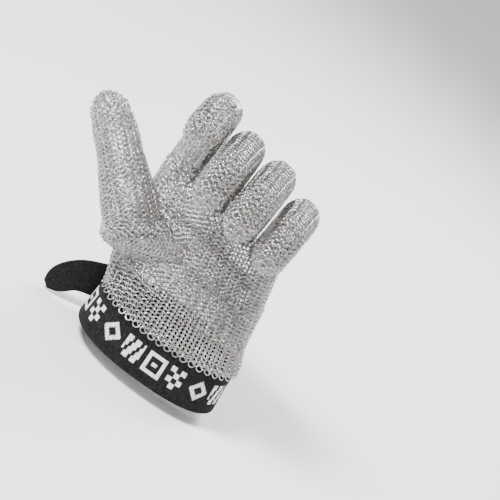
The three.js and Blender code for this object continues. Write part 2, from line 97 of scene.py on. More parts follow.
# Woven strap
RIB_PITCH = 0.9 * MM  # of the ribs that cross the strap, and of the cells of its woven figures
RIB_DEPTH = 0.13 * MM
RIB_SAMPLES = 4
WEBBING = 1.2 * MM
SELVEDGE = 0.45 * MM  # radius of the strap's rounded edges
STRAP_CELLS = 24  # across the strap
FIGURE_CELLS = 12  # height of the white figures
TAPE = 0.8 * MM
TAPE_BACKING = 0.32 * MM
LOOP_COUNT = 1700
LOOP_RADII = (0.2, 0.36)  # smallest and largest half widths, in millimetres
LOOP_THREAD = 0.05 * MM
HOOK_PITCH = 0.8 * MM
HOOK_BEND = 0.16 * MM
HOOK_WIRE = 0.06 * MM
EDGE_STEPS = 1440  # rays round the wrist that find a strap piece's outer face
EDGE_INSIDE = 0.4 * MM  # from the CAD edge to those rays
EDGE_POINTS = 600
EDGE_SOFTENING = 250  # passes that take out the CAD's facets
TAIL_DETAIL = 12  # points to each stretch between the CAD tail's sections
TAIL_SOFTENING = 40
FIGURE_PITCH = 14  # cells from one white figure to the next
STRAP_REACH = 80 * MM
UV_ROWS = 2
THREAD_RELIEF = 0.04 * MM  # of the tapes' backings

joints = {j["name"]: j for j in frame["joints"]}
random = np.random.default_rng(SEED)


def unit(v):
    return v / np.linalg.norm(v, axis=-1, keepdims=True)


def smooth_step(x):
    x = np.clip(x, 0, 1)
    return x * x * (3 - 2 * x)


def joint_place(name):
    return np.array(joints[name]["pos_m"], float)


def joint_axis(name):
    return unit(np.array(joints[name]["axis"], float))


# ------------------------------------------------------------------ reading the CAD skins


def node_points(*names):
    """Every vertex of some CAD nodes."""
    rows = []
    for name in names:
        mesh = frame["nodes"][name].data
        co = np.empty(len(mesh.vertices) * 3, np.float32)
        mesh.vertices.foreach_get("co", co)
        rows.append(co.reshape(-1, 3))
    return np.concatenate(rows).astype(float)


def skin_tree(*names):
    """A search tree over the faces of some CAD nodes."""
    points, faces = [], []
    for name in names:
        mesh = frame["nodes"][name].data
        first = len(points)
        points.extend(v.co.copy() for v in mesh.vertices)
        faces.extend([first + i for i in p.vertices] for p in mesh.polygons)
    return BVHTree.FromPolygons(points, faces)


def outermost(tree, origin, direction, reach):
    """How far from the origin the outermost skin lies along a direction, or nan."""
    start = Vector(origin + direction * reach)
    hit = tree.ray_cast(start, Vector(-direction), reach)
    return math.nan if hit[0] is None else reach - hit[3]


def distance_to(tree, points):
    return np.array([tree.find_nearest(Vector(p))[3] for p in points])


def filled(radii):
    """Fills the rays that met no skin from their neighbours round the loop."""
    good = ~np.isnan(radii)
    if good.all() or not good.any():
        return radii
    count = len(radii)
    turns = np.arange(count)
    known = turns[good]
    places = np.concatenate([known - count, known, known + count])
    return np.interp(turns, places, np.tile(radii[good], 3))


def resampled(path, count):
    """Points spaced evenly along a line of points."""
    length = np.concatenate([[0], np.cumsum(np.linalg.norm(np.diff(path, axis=0), axis=1))])
    wanted = np.linspace(0, length[-1], count)
    return np.stack([np.interp(wanted, length, path[:, k]) for k in range(3)], 1)


def softened(rows, passes):
    """Rounds off a sequence of points or numbers, leaving its two ends in place."""
    rows = rows.copy()
    for _ in range(passes):
        rows[1:-1] = (rows[:-2] + 2 * rows[1:-1] + rows[2:]) / 4
    return rows


# ------------------------------------------------------------------ the mail's middle surface

TURNS = 72


def loops(tree, fronts, backs, acrosses, reach):
    """Loops of points on the rings' middle surface.

    Each loop lies in the plane through its front and back points and its across direction.
    """
    angles = np.arange(TURNS) * 2 * np.pi / TURNS
    radii, rays, middles = [], [], []
    for front, back, across in zip(fronts, backs, acrosses):
        middle = (front + back) / 2
        deep = unit(back - front)
        half_depth = np.linalg.norm(back - front) / 2
        sides = [outermost(tree, middle, sign * across, reach) for sign in (1, -1)]
        known = [s for s in sides if not math.isnan(s)]
        half_width = np.mean(known) if known else half_depth
        spread = np.cos(angles)[:, None] * across * half_width
        spread = unit(spread + np.sin(angles)[:, None] * deep * half_depth)
        radii.append(filled(np.array([outermost(tree, middle, ray, reach) for ray in spread])))
        rays.append(spread)
        middles.append(middle)
    radii = np.array(radii)
    empty = np.isnan(radii).all(axis=1)
    whole = np.arange(len(radii))
    for k in range(TURNS):
        radii[:, k] = np.interp(whole, whole[~empty], radii[~empty, k])
    radii = softened(radii, 2)
    for _ in range(2):
        radii = (np.roll(radii, 1, 1) + 2 * radii + np.roll(radii, -1, 1)) / 4
    return np.array(middles)[:, None] + np.array(rays) * (radii - SKIN_DEPTH)[:, :, None]


def along_loop(loop, start, distances):
    """Points at these distances round a closed loop from one of its points."""
    closed = np.concatenate([np.roll(loop, -start, 0), loop[start : start + 1]])
    length = np.concatenate([[0], np.cumsum(np.linalg.norm(np.diff(closed, axis=0), axis=1))])
    wanted = np.mod(distances, length[-1])
    return np.stack([np.interp(wanted, length, closed[:, k]) for k in range(3)], 1)


def loop_length(loop):
    return np.linalg.norm(np.roll(loop, -1, 0) - loop, axis=1).sum()


class Rings:
    """Ring middles with their two directions: out of the fabric, and the way they lean."""

    def __init__(self):
        self.middles, self.outs, self.alongs, self.leans = [], [], [], []

    def add(self, middles, outs, alongs, leans):
        self.middles.append(middles)
        self.outs.append(outs)
        self.alongs.append(alongs)
        self.leans.append(np.broadcast_to(leans, len(middles)).astype(float))

    def joined(self):
        rows = (self.middles, self.outs, self.alongs, self.leans)
        return [np.concatenate(row) for row in rows]


def weave_tube(rings, surface, start, seam=False):
    """Lays rings in columns along a tube of loops. With a seam, columns end as the tube narrows."""
    lengths = np.array([loop_length(loop) for loop in surface])
    if seam:
        counts = 2 * np.round(lengths / COLUMN_PITCH / 2).astype(int)
    else:
        counts = np.full(len(surface), 2 * round(lengths.mean() / COLUMN_PITCH / 2))
    most = counts.max()
    columns = np.arange(most) - most // 2
    pitches = softened(lengths / counts, 3)
    grid = np.stack(
        [along_loop(loop, start, columns * pitch) for loop, pitch in zip(surface, pitches)]
    )
    ends = counts // 2
    inner = surface.mean(axis=1)
    steps = np.linalg.norm(np.diff(grid, axis=0), axis=2)
    travel = np.concatenate([np.zeros((1, most)), np.cumsum(steps, axis=0)])
    rows = round(travel[-1].max() / ROW_PITCH)
    stations = np.arange(len(surface))
    for c, column in enumerate(columns):
        odd = column % 2
        wanted = (np.arange(rows) + 0.5 * odd + 0.25) / rows * travel[-1, c]
        t = np.interp(wanted, travel[:, c], stations)
        end = np.interp(t, stations, ends)
        keep = (column >= -end - 1e-6) & (column < end - 1e-6)
        t = t[keep]

        def at(place, which):
            path = grid[:, which % most]
            return np.stack([np.interp(place, stations, path[:, k]) for k in range(3)], 1)

        here = at(t, c)
        along = unit(at(t + 0.6, c) - at(t - 0.6, c))
        round_it = at(t, min(c + 1, most - 1)) - at(t, max(c - 1, 0))
        out = unit(np.cross(round_it, along))
        middle = np.stack([np.interp(t, stations, inner[:, k]) for k in range(3)], 1)
        out *= np.sign(((here - middle) * out).sum(1, keepdims=True))
        rings.add(here, out, along, 1 if odd else -1)
    return rows


def weave_dome(rings, tree, middle, axis, across, reach):
    """Lays rings over the rounded end of a digit, fewer in each row towards its pole."""
    side = np.cross(axis, across)
    radius = outermost(tree, middle, across, reach) - SKIN_DEPTH
    rise = outermost(tree, middle, axis, reach) - SKIN_DEPTH
    quarter = math.pi / 2 * (radius + rise) / 2
    rows = round(quarter / (ROW_PITCH / 2))
    for k in range(1, rows + 1):
        height = k / rows * math.pi / 2
        around = 2 * math.pi * radius * math.cos(height)
        count = max(1, round(around / (2 * COLUMN_PITCH)))
        turn = (np.arange(count) + 0.5 * (k % 2)) / count * 2 * np.pi
        flat = np.cos(turn)[:, None] * across + np.sin(turn)[:, None] * side
        rays = flat * math.cos(height) + axis * math.sin(height)
        reached = np.array([outermost(tree, middle, ray, reach) for ray in rays])
        reached = np.where(np.isnan(reached), radius + SKIN_DEPTH, reached) - SKIN_DEPTH
        along = axis * math.cos(height) - flat * math.sin(height)
        rings.add(middle + rays * reached[:, None], rays, along, 1 if k % 2 else -1)


# ------------------------------------------------------------------ ring meshes


def ring_mesh(name, middles, outs, alongs, leans):
    """One mesh of separate closed rings."""
    count = len(middles)
    outs = unit(outs)
    over = unit(np.cross(outs, alongs))
    ahead = np.cross(over, outs)
    lean = leans * LEAN + random.normal(0, LEAN_JITTER, count)
    roll = random.normal(0, LEAN_JITTER, count)
    ahead, axis = (
        ahead * np.cos(lean)[:, None] + outs * np.sin(lean)[:, None],
        outs * np.cos(lean)[:, None] - ahead * np.sin(lean)[:, None],
    )
    over, axis = (
        over * np.cos(roll)[:, None] + axis * np.sin(roll)[:, None],
        axis * np.cos(roll)[:, None] - over * np.sin(roll)[:, None],
    )
    middles = middles + random.normal(0, PLACE_JITTER, (count, 3))
    spin = random.uniform(0, 2 * np.pi, count)
    turn = spin[:, None] + np.arange(RING_STEPS) * 2 * np.pi / RING_STEPS
    radial = (
        np.cos(turn)[:, :, None] * over[:, None] + np.sin(turn)[:, :, None] * ahead[:, None]
    )
    wire = np.arange(WIRE_SIDES) * 2 * np.pi / WIRE_SIDES
    thick = np.full(RING_STEPS, WIRE_RADIUS)
    thick[0] *= WELD_BULGE
    outwards = RING_RADIUS + thick[:, None] * np.cos(wire)
    points = radial[:, :, None] * outwards[None, :, :, None]
    points = points + axis[:, None, None] * (thick[:, None] * np.sin(wire))[None, :, :, None]
    points = points + middles[:, None, None]
    return closed_rings(name, points.reshape(-1, 3), count)


def closed_rings(name, points, count):
    """The rings' faces, UV map, and the tone and the weld that the steel reads."""
    a = np.arange(RING_STEPS)[:, None]
    b = np.arange(WIRE_SIDES)[None]
    a2, b2 = (a + 1) % RING_STEPS, (b + 1) % WIRE_SIDES
    square = [(a, b), (a2, b), (a2, b2), (a, b2)]
    corners = np.stack([i * WIRE_SIDES + j for i, j in square], 2)
    each = RING_STEPS * WIRE_SIDES
    faces = corners.reshape(1, -1) + (np.arange(count) * each)[:, None]
    piece = quad_piece(name, points, faces.reshape(-1, 4))
    mesh = piece.data
    cells = math.ceil(math.sqrt(count))
    u = np.stack([a + 0 * b, a + 1 + 0 * b, a + 1 + 0 * b, a + 0 * b], 2) / RING_STEPS
    v = np.stack([b + 0 * a, b + 0 * a, b + 1 + 0 * a, b + 1 + 0 * a], 2) / WIRE_SIDES
    within = np.stack([u.ravel(), v.ravel()], 1) * 0.9 + 0.05
    cell = np.stack([np.arange(count) % cells, np.arange(count) // cells], 1)
    places = (cell[:, None] + within[None]) / cells
    layer = mesh.uv_layers.new(name="OFBake")
    layer.data.foreach_set("uv", places.astype(np.float32).ravel())
    tone = random.normal(0, 1, count).repeat(each)
    mesh.attributes.new("tone", "FLOAT", "POINT").data.foreach_set("value", tone.astype(np.float32))
    weld = np.zeros((count, RING_STEPS, WIRE_SIDES), np.float32)
    weld[:, 0] = 1
    mesh.attributes.new("weld", "FLOAT", "POINT").data.foreach_set("value", weld.ravel())
    return piece


def hang(piece, weights):
    """Bakes a piece of mail's placement into its mesh."""
    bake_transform(piece)
    each = RING_STEPS * WIRE_SIDES
    values = weights.astype(np.float32).repeat(each)


# ------------------------------------------------------------------ materials


def new_material(name):
    material = bpy.data.materials.new(name)
    material.use_nodes = True
    tree = material.node_tree
    return material, tree, tree.nodes["Principled BSDF"]


def add(tree, kind, inputs=None, **settings):
    node = tree.nodes.new(kind)
    for key, value in settings.items():
        setattr(node, key, value)
    for key, value in (inputs or {}).items():
        if isinstance(value, bpy.types.NodeSocket):
            tree.links.new(value, node.inputs[key])
        else:
            node.inputs[key].default_value = value
    return node


def ramp(tree, source, low, high, colours):
    node = add(tree, "ShaderNodeValToRGB", {"Fac": source})
    node.color_ramp.elements[0].position = low
    node.color_ramp.elements[1].position = high
    node.color_ramp.elements[0].color = (*colours[0], 1)
    node.color_ramp.elements[1].color = (*colours[1], 1)
    return node


def steel():
    material, tree, shader = new_material("ring_steel")
    tone = add(tree, "ShaderNodeAttribute", attribute_name="tone")
    weld = add(tree, "ShaderNodeAttribute", attribute_name="weld")
    place = add(tree, "ShaderNodeTexCoord")
    grime = add(
        tree, "ShaderNodeTexNoise", {"Vector": place.outputs["Object"], "Scale": 900, "Detail": 4}
    )
    level = add(
        tree,
        "ShaderNodeMath",
        {0: tone.outputs["Fac"], 1: 0.16, 2: grime.outputs["Fac"]},
        operation="MULTIPLY_ADD",
    )
    base = ramp(tree, level.outputs[0], 0.2, 0.8, [(0.32, 0.31, 0.305), (0.6, 0.585, 0.575)])
    tint = add(
        tree,
        "ShaderNodeMix",
        {"Factor": weld.outputs["Fac"], "A": base.outputs["Color"], "B": (0.5, 0.47, 0.43, 1)},
        data_type="RGBA",
    )
    shader.inputs["Metallic"].default_value = 1
    tree.links.new(tint.outputs["Result"], shader.inputs["Base Color"])
    rough = add(
        tree,
        "ShaderNodeMapRange",
        {"Value": level.outputs[0], "From Min": 0.2, "From Max": 0.9, "To Min": 0.34, "To Max": 0.22},
    )
    tree.links.new(rough.outputs["Result"], shader.inputs["Roughness"])
    return material


# ------------------------------------------------------------------ digits


class Digit:
    """Bones of one digit, its CAD skin, and where its pieces of mail part."""

    def __init__(self, bodies, places, across, nodes, first_way):
        self.bodies = bodies
        self.tree = skin_tree(*nodes)
        self.across = across
        tip_points = node_points(nodes[-1])
        last = unit(tip_points.mean(axis=0) - places[-1])
        reach = ((tip_points - places[-1]) @ last).max()
        middle = tip_points.mean(axis=0)
        end = middle + last * (reach - (middle - places[-1]) @ last)
        self.places = [*places, end]
        ways = [unit(b - a) for a, b in zip(self.places, self.places[1:])]
        self.ways = [first_way, *ways]

    def back_of(self, way):
        return unit(np.cross(way, self.across))

    def bend_at(self, i):
        """Flexion at hinge i, in radians."""
        before, after = self.ways[i], self.ways[i + 1]
        return math.atan2(-(after @ self.back_of(before)), after @ before)

    def line(self, side, lead, reach):
        """Points along the skin on the digit's back (side 1) or its front (-1)."""
        points = []

        def cast(origin, direction):
            far = outermost(self.tree, origin, direction, reach)
            if not math.isnan(far):
                points.append(origin + direction * far)

        for i, way in enumerate(self.ways):
            origin = self.places[max(i - 1, 0)]
            length = lead if i == 0 else np.linalg.norm(self.places[i] - origin)
            low = -length if i == 0 else 0.0
            high = 0.0 if i == 0 else length
            out = side * self.back_of(way)
            near = abs(math.tan(self.bend_at(i - 1) / 2)) if i else 0
            far = abs(math.tan(self.bend_at(i) / 2)) if i + 1 < len(self.ways) else 0
            near_inner = i > 0 and self.bend_at(i - 1) * side < 0
            far_inner = i + 1 < len(self.ways) and self.bend_at(i) * side < 0
            depth = INNER_SIDE
            start = low + (depth * near if near_inner else 0)
            stop = high - (depth * far if far_inner else 0)
            if i + 1 == len(self.ways):
                stop = high - depth
            for s in np.arange(start, stop, 1.0 * MM):
                cast(origin + way * s, out)
            if i + 1 < len(self.ways):
                joint = self.places[i]
                turn = self.bend_at(i)
                shares = (0.5,) if far_inner else np.linspace(0, 1, 5)
                for share in shares:
                    tilt = Matrix.Rotation(turn * share, 3, Vector(self.across))
                    cast(joint, np.array(tilt @ Vector(out)))
        return np.array(points)


def digit_rings(digit, lead, reach, start, seam=False):
    front = digit.line(-1, lead, reach)
    back = digit.line(1, lead, reach)
    longest = max(np.linalg.norm(np.diff(line, axis=0), axis=1).sum() for line in (front, back))
    count = round(longest / (ROW_PITCH / 2))
    fronts = softened(resampled(front, count), 3)
    backs = softened(resampled(back, count), 3)
    surface = loops(digit.tree, fronts, backs, [digit.across] * count, reach)
    rings = Rings()
    weave_tube(rings, surface, start, seam)
    middle = surface[-1].mean(axis=0)
    weave_dome(rings, digit.tree, middle, digit.ways[-1], digit.across, reach)
    return rings.joined(), fronts[0], backs[0]


def mail_of_digit(name, digit, rings, start_distance, material, replaced):
    """Parts the rings between the joints into a piece for each part, in place of its CAD nodes."""
    middles = rings[0]
    halves = [
        (digit.places[i] + digit.places[i + 1]) / 2 for i in range(len(digit.places) - 2)
    ]
    ways = digit.ways[1:-1]
    owner = np.zeros(len(middles), int)
    nearest = nearest_bone(digit, middles)
    for i, (half, way) in enumerate(zip(halves, ways)):
        past = (nearest > i) | ((nearest == i) & ((middles - half) @ way > 0))
        owner[past] = i + 1
    for i, label in enumerate(("base", "middle", "end")):
        own = owner == i
        before = start_distance[own] if i == 0 else (middles[own] - halves[i - 1]) @ ways[i - 1]
        if i < len(halves):
            after = (halves[i] - middles[own]) @ ways[i]
        else:
            after = (digit.places[i + 1] - digit.ways[i + 1] * 4 * MM - middles[own]) @ digit.ways[i + 1]
        before, after = np.maximum(before, 0), np.maximum(after, 0)
        weights = smooth_step(before / np.maximum(before + after, 1e-9))
        piece = ring_mesh(f"{name}_{label}_rings", *(row[own] for row in rings))
        piece.data.materials.append(material)
        hang(piece, weights)
        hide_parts(*replaced[i])


def nearest_bone(digit, points):
    """Which bone each point is nearest, counted from the first hinge."""
    distances = []
    for a, b in zip(digit.places, digit.places[1:]):
        along = np.clip((points - a) @ (b - a) / ((b - a) @ (b - a)), 0, 1)
        distances.append(np.linalg.norm(points - (a + along[:, None] * (b - a)), axis=1))
    return np.argmin(distances, axis=0)


FINGERS = ("index", "middle", "ring", "little")
PALM_NODES = ("palm_mail", "back_mail")


def hand_way():
    """Up the back of the hand: square to the fingers' hinges, along the palm's own slope."""
    back = node_points("back_mail")
    front = node_points("palm_mail")
    top = np.mean([joint_place(f"{f}_base_flex") for f in FINGERS], axis=0)
    low = (back[back[:, 2] < back[:, 2].min() + 2 * MM].mean(axis=0)
           + front[front[:, 2] < front[:, 2].min() + 2 * MM].mean(axis=0)) / 2
    way = top - low
    way[0] = 0
    return unit(way)


def finger_mail(name, material):
    nodes = [
        f"{name}_base_knuckle_mail",
        f"{name}_base_mail",
        f"{name}_middle_knuckle_mail",
        f"{name}_middle_mail",
        f"{name}_end_knuckle_mail",
        f"{name}_tip_mail",
    ]
    places = [joint_place(f"{name}_{which}_flex") for which in ("base", "middle", "end")]
    bodies = ["root", f"{name}_base", f"{name}_middle", f"{name}_end"]
    digit = Digit(bodies, places, joint_axis(f"{name}_base_flex"), nodes, hand_way())
    rings, front, back = digit_rings(digit, LEAD, FINGER_REACH, TURNS // 4)
    normal = unit(np.cross(digit.across, back - front))
    normal *= np.sign(normal @ digit.ways[1])
    start_distance = (rings[0] - front) @ normal
    replaced = [nodes[:2], nodes[2:4], nodes[4:]]
    mail_of_digit(name, digit, rings, start_distance, material, replaced)


# ------------------------------------------------------------------ thumb


def thumb_mail(material):
    nodes = [
        "thumb_ball_mail",
        "thumb_base_mail",
        "thumb_middle_knuckle_mail",
        "thumb_middle_mail",
        "thumb_end_knuckle_mail",
        "thumb_tip_mail",
    ]
    names = ("thumb_base_swing", "thumb_middle_flex", "thumb_end_flex")
    places = [joint_place(n) for n in names]
    bodies = ["root", "thumb_base", "thumb_middle", "thumb_end"]
    across = -joint_axis("thumb_base_swing")
    way = unit(places[1] - places[0])
    digit = Digit(bodies, places, across, nodes, way)
    back_way = digit.back_of(way)
    reach = THUMB_REACH

    base = node_points("thumb_base_mail")
    ball = node_points("thumb_ball_mail")
    heights = (base - places[0]) @ way
    web = base[heights < heights.min() + 2 * MM].mean(axis=0)
    top = base[heights > heights.max() - 2 * MM].mean(axis=0)
    centre = ball.mean(axis=0)
    inner = web - (web - centre) * 2.4
    stations = [inner, web, top]
    path = resampled(np.array(stations), round(np.linalg.norm(web - inner) / (ROW_PITCH / 2)) + 18)
    fronts, backs = [], []
    for middle in path:
        out_front = outermost(digit.tree, middle, -back_way, reach)
        out_back = outermost(digit.tree, middle, back_way, reach)
        fronts.append(middle - back_way * (BALL_HALF_DEPTH if math.isnan(out_front) else out_front))
        backs.append(middle + back_way * (BALL_HALF_DEPTH if math.isnan(out_back) else out_back))
    tail_front = [p for p in digit.line(-1, 0, FINGER_REACH) if (p - top) @ way > 0]
    tail_back = [p for p in digit.line(1, 0, FINGER_REACH) if (p - top) @ way > 0]
    front = np.concatenate([fronts, tail_front])
    back = np.concatenate([backs, tail_back])
    longest = max(np.linalg.norm(np.diff(line, axis=0), axis=1).sum() for line in (front, back))
    count = round(longest / (ROW_PITCH / 2))
    fronts = softened(resampled(front, count), 4)
    backs = softened(resampled(back, count), 4)
    surface = loops(digit.tree, fronts, backs, [across] * count, reach)
    rings = Rings()
    weave_tube(rings, surface, 3 * TURNS // 4, seam=True)
    weave_dome(rings, digit.tree, surface[-1].mean(axis=0), digit.ways[-1], across, FINGER_REACH)
    joined = rings.joined()
    on_skin = distance_to(digit.tree, joined[0]) < SKIN_RANGE
    joined = [row[on_skin] for row in joined]
    palm_tree = skin_tree(*PALM_NODES)
    start_distance = np.maximum(distance_to(palm_tree, joined[0]) - 1.5 * MM, 0)
    replaced = [nodes[:2], nodes[2:4], nodes[4:]]
    mail_of_digit("thumb", digit, joined, start_distance, material, replaced)


# ------------------------------------------------------------------ palm


def palm_mail(material):
    tree = skin_tree(*PALM_NODES)
    way = hand_way()
    first, last = joint_place("index_base_flex"), joint_place("little_base_flex")
    knuckles = unit(last - first)
    out = unit(np.cross(way, np.array([1.0, 0, 0])))
    back_points, front_points = node_points("back_mail"), node_points("palm_mail")
    low_front, low_back = front_points[:, 2].min() + RIM_RISE, back_points[:, 2].min()
    middle_x = (first[0] + last[0]) / 2

    def top_of(points):
        near = points[abs(points[:, 0] - middle_x) < 12 * MM]
        return (near @ way).max() - EDGE_INSET

    def line(side, low, top):
        points = []
        for share in np.linspace(0, 1, 200):
            # the middle line leans over from the wrist's axis to the hand's own
            height = low + share * (top / way[2] - low)
            core = np.array([middle_x * share, way[1] / way[2] * height * share, height])
            ray = side * unit((1 - share) * np.array([0, 1.0, 0]) + share * out)
            far = outermost(tree, core, ray, 60 * MM)
            if not math.isnan(far):
                point = core + ray * far
                if point @ way <= top:
                    points.append(point)
        return np.array(points)

    front = line(-1, low_front, top_of(front_points))
    back = line(1, low_back, top_of(back_points))
    count = PALM_ROWS
    fronts = softened(resampled(front, count), 2)
    backs = softened(resampled(back, count), 2)
    shares = np.linspace(0, 1, count)[:, None]
    acrosses = unit((1 - shares) * np.array([1.0, 0, 0]) + shares * knuckles)
    surface = loops(tree, fronts, backs, acrosses, PALM_REACH)
    # one more loop, out to the skins' top edges
    surface = np.concatenate([surface, surface[-1:] * 2 - surface[-2:-1]])
    rings = Rings()
    weave_tube(rings, surface, 3 * TURNS // 4)
    joined = rings.joined()
    on_skin = distance_to(tree, joined[0]) < SKIN_RANGE
    joined = [row[on_skin] for row in joined]
    middle = surface.mean(axis=1)
    stations = np.array([np.argmin(np.linalg.norm(middle - p, axis=1)) for p in joined[0]])
    behind = ((joined[0] - middle[stations]) @ out) > 0
    for name, own, node in (("palm_rings", ~behind, "palm_mail"), ("back_rings", behind, "back_mail")):
        piece = ring_mesh(name, *(row[own] for row in joined))
        piece.data.materials.append(material)
        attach(piece, "root")
        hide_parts(node)


# ------------------------------------------------------------------ strap


def edge_round(tree, height):
    """Points along the outer face of a strap piece at one height, from its start to its end."""
    steps = EDGE_STEPS
    angles = np.arange(steps) * 2 * np.pi / steps
    rays = np.stack([np.cos(angles), np.sin(angles), 0 * angles], 1)
    origin = np.array([0, 0, height])
    radii = np.array([outermost(tree, origin, ray, STRAP_REACH) for ray in rays])
    met = ~np.isnan(radii)
    turned = np.roll(met, 1)
    starts = np.flatnonzero(met & ~turned)
    ends = np.flatnonzero(~met & turned)
    runs = [((end - start) % steps, start) for start in starts for end in ends]
    count, start = max(
        (min(length for length, s in runs if s == start), start) for start in starts
    )
    order = (start + np.arange(count)) % steps
    radii = softened(radii[order], EDGE_SOFTENING)
    return origin + rays[order] * radii[:, None]


def strap_edges(node):
    """The lower and upper edges of a strap piece's outer face."""
    tree = skin_tree(node)
    points = node_points(node)
    low, high = points[:, 2].min(), points[:, 2].max()
    inset = EDGE_INSIDE
    heights = (low + inset, high - inset)
    near = [resampled(edge_round(tree, height), EDGE_POINTS) for height in heights]
    beyond = (near[1] - near[0]) * inset / (high - low - 2 * inset)
    return near[0] - beyond, near[1] + beyond


def strip_frames(low, high, step):
    """Evenly spaced sections of a strip: edges, and the way its outer face looks."""
    middle = (low + high) / 2
    travel = np.linalg.norm(np.diff(middle, axis=0), axis=1)
    length = np.concatenate([[0], np.cumsum(travel)])
    count = round(length[-1] / step / RIB_SAMPLES) * RIB_SAMPLES + 1
    wanted = np.linspace(0, length[-1], count)
    low, high = (
        np.stack([np.interp(wanted, length, edge[:, k]) for k in range(3)], 1)
        for edge in (low, high)
    )
    tangent = unit(np.gradient((low + high) / 2, axis=0))
    return low, high, unit(np.cross(tangent, high - low))


def figures(column, row):
    """Which cells are woven white: a repeat of plain figures along the band."""
    kind, place = column // FIGURE_PITCH % 4, column % FIGURE_PITCH
    x, y = place - 5.0, row - (FIGURE_CELLS - 1) / 2
    shapes = [
        (np.abs(x) + np.abs(y) > 3.2) & (np.abs(x) + np.abs(y) < 6),
        ((place + row // 3) % 5 < 2.5) & (np.abs(y) < 5.6),
        (np.maximum(np.abs(x), np.abs(y)) > 3.6) | (np.maximum(np.abs(x), np.abs(y)) < 1.2),
        ((place // 3 + row // 3) % 2 < 1) & (place < 9),
    ]
    inside = (place <= 10) & (row >= 0) & (row < FIGURE_CELLS)
    return inside & np.choose(kind, shapes)


def woven_strip(name, low, high, thickness, figured=False, relief=RIB_DEPTH):
    """A closed ribbed strip. low and high are the edges of its outer face.

    Its section runs up the outer face, round the upper edge, down the inner face and round the lower
    edge.
    """
    low, high, normal = strip_frames(low, high, RIB_PITCH / RIB_SAMPLES)
    count = len(low)
    across = unit(high - low)
    width = np.linalg.norm(high - low, axis=1)
    cells = np.linspace(0, 1, 2 * STRAP_CELLS + 1)
    wrap = np.radians(np.array([60, 30, 0, -30, -60]))
    side = np.concatenate([cells, 1 + 0 * wrap, cells[::-1], 0 * wrap])
    face = np.concatenate([1 + 0 * cells, np.sin(wrap), -1 + 0 * cells, -np.sin(wrap)])
    bulge = np.concatenate([0 * cells, np.cos(wrap), 0 * cells, -np.cos(wrap)])
    section = np.arange(count)[:, None]
    cell_across = np.floor(side * STRAP_CELLS - 1e-6)
    stagger = np.where(cell_across % 2 > 0, 0.5, 0)
    rib = 0.5 - 0.5 * np.cos(2 * np.pi * (section / RIB_SAMPLES + 0.3 * stagger))
    half = thickness / 2 - relief * (1 - rib)
    radius = min(SELVEDGE, thickness / 2)
    inset = radius * (1 - 0.25 * rib)
    centre = (low + high)[:, None] / 2 - normal[:, None] * thickness / 2
    reach = (side - 0.5) * (width[:, None] - 2 * inset) + bulge * inset
    flat = np.abs(face) > 0.999
    lift = np.where(flat, face * half, face * np.minimum(half, radius))
    points = centre + across[:, None] * reach[:, :, None] + normal[:, None] * lift[:, :, None]
    around = len(side)
    k = np.arange(count - 1)[:, None]
    j = np.arange(around)[None]
    j2 = (j + 1) % around
    square = [(k, j), (k, j2), (k + 1, j2), (k + 1, j)]
    faces = np.stack([a * around + b for a, b in square], 2).reshape(-1, 4)
    lap = len(cells)
    i = np.arange(lap - 1)
    top = [i, i + 1, 2 * lap + len(wrap) - 2 - i, 2 * lap + len(wrap) - 1 - i]
    cap = np.stack(top, 1)
    caps = np.concatenate([cap[:, ::-1], cap + (count - 1) * around])
    piece = quad_piece(name, points.reshape(-1, 3), np.concatenate([faces, caps]))
    places = strip_places(count, around, len(caps))
    piece.data.uv_layers.new(name="OFBake").data.foreach_set("uv", places.ravel())
    colour_cells(piece.data, count, around, lap - 1, figured)
    return piece


def strip_places(count, around, caps):
    """UV places of a strip's faces, folded into rows, and of the faces that close its two ends."""
    k = np.arange(count - 1)[:, None]
    j = np.arange(around)[None]
    chunk = math.ceil((count - 1) / UV_ROWS)
    ahead = [k, k, k + 1, k + 1]
    turn = [j, j + 1, j + 1, j]
    u = np.stack([(a - k // chunk * chunk) / chunk + 0 * j for a in ahead], 2)
    v = np.stack([(k // chunk + 0.97 * b / around) / UV_ROWS for b in turn], 2)
    faces = np.stack([0.97 * u, v], 3).reshape(-1, 2)
    ends = np.tile([[0.98, 0], [0.98, 0.01], [0.99, 0.01], [0.99, 0]], (caps, 1))
    ends[:, 1] += np.repeat(np.arange(caps) / caps * 0.9, 4)
    return np.concatenate([faces, ends]).astype(np.float32)


def colour_cells(mesh, count, around, outer_faces, figured):
    """Gives each woven cell its own tone, and marks the cells of the white figures."""
    k = np.arange(count - 1)[:, None]
    j = np.arange(around)[None]
    sides = (count - 1) * around
    white = np.zeros(len(mesh.polygons), np.float32)
    tone = random.normal(0, 1, len(white)).astype(np.float32)
    column = (k // RIB_SAMPLES + 0 * j).ravel()
    row = (STRAP_CELLS - 1 - j // 2 + 0 * k).ravel() - (STRAP_CELLS - FIGURE_CELLS) // 2
    if figured:
        outer = (j < outer_faces) & (k >= 0)
        white[:sides] = outer.ravel() & figures(column, row)
    cell_tone = random.normal(0, 1, (count // RIB_SAMPLES + 1, around))
    tone[:sides] = cell_tone[column, (j // 2 + 0 * k).ravel()]
    mesh.attributes.new("white", "FLOAT", "FACE").data.foreach_set("value", white)
    mesh.attributes.new("tone", "FLOAT", "FACE").data.foreach_set("value", tone)


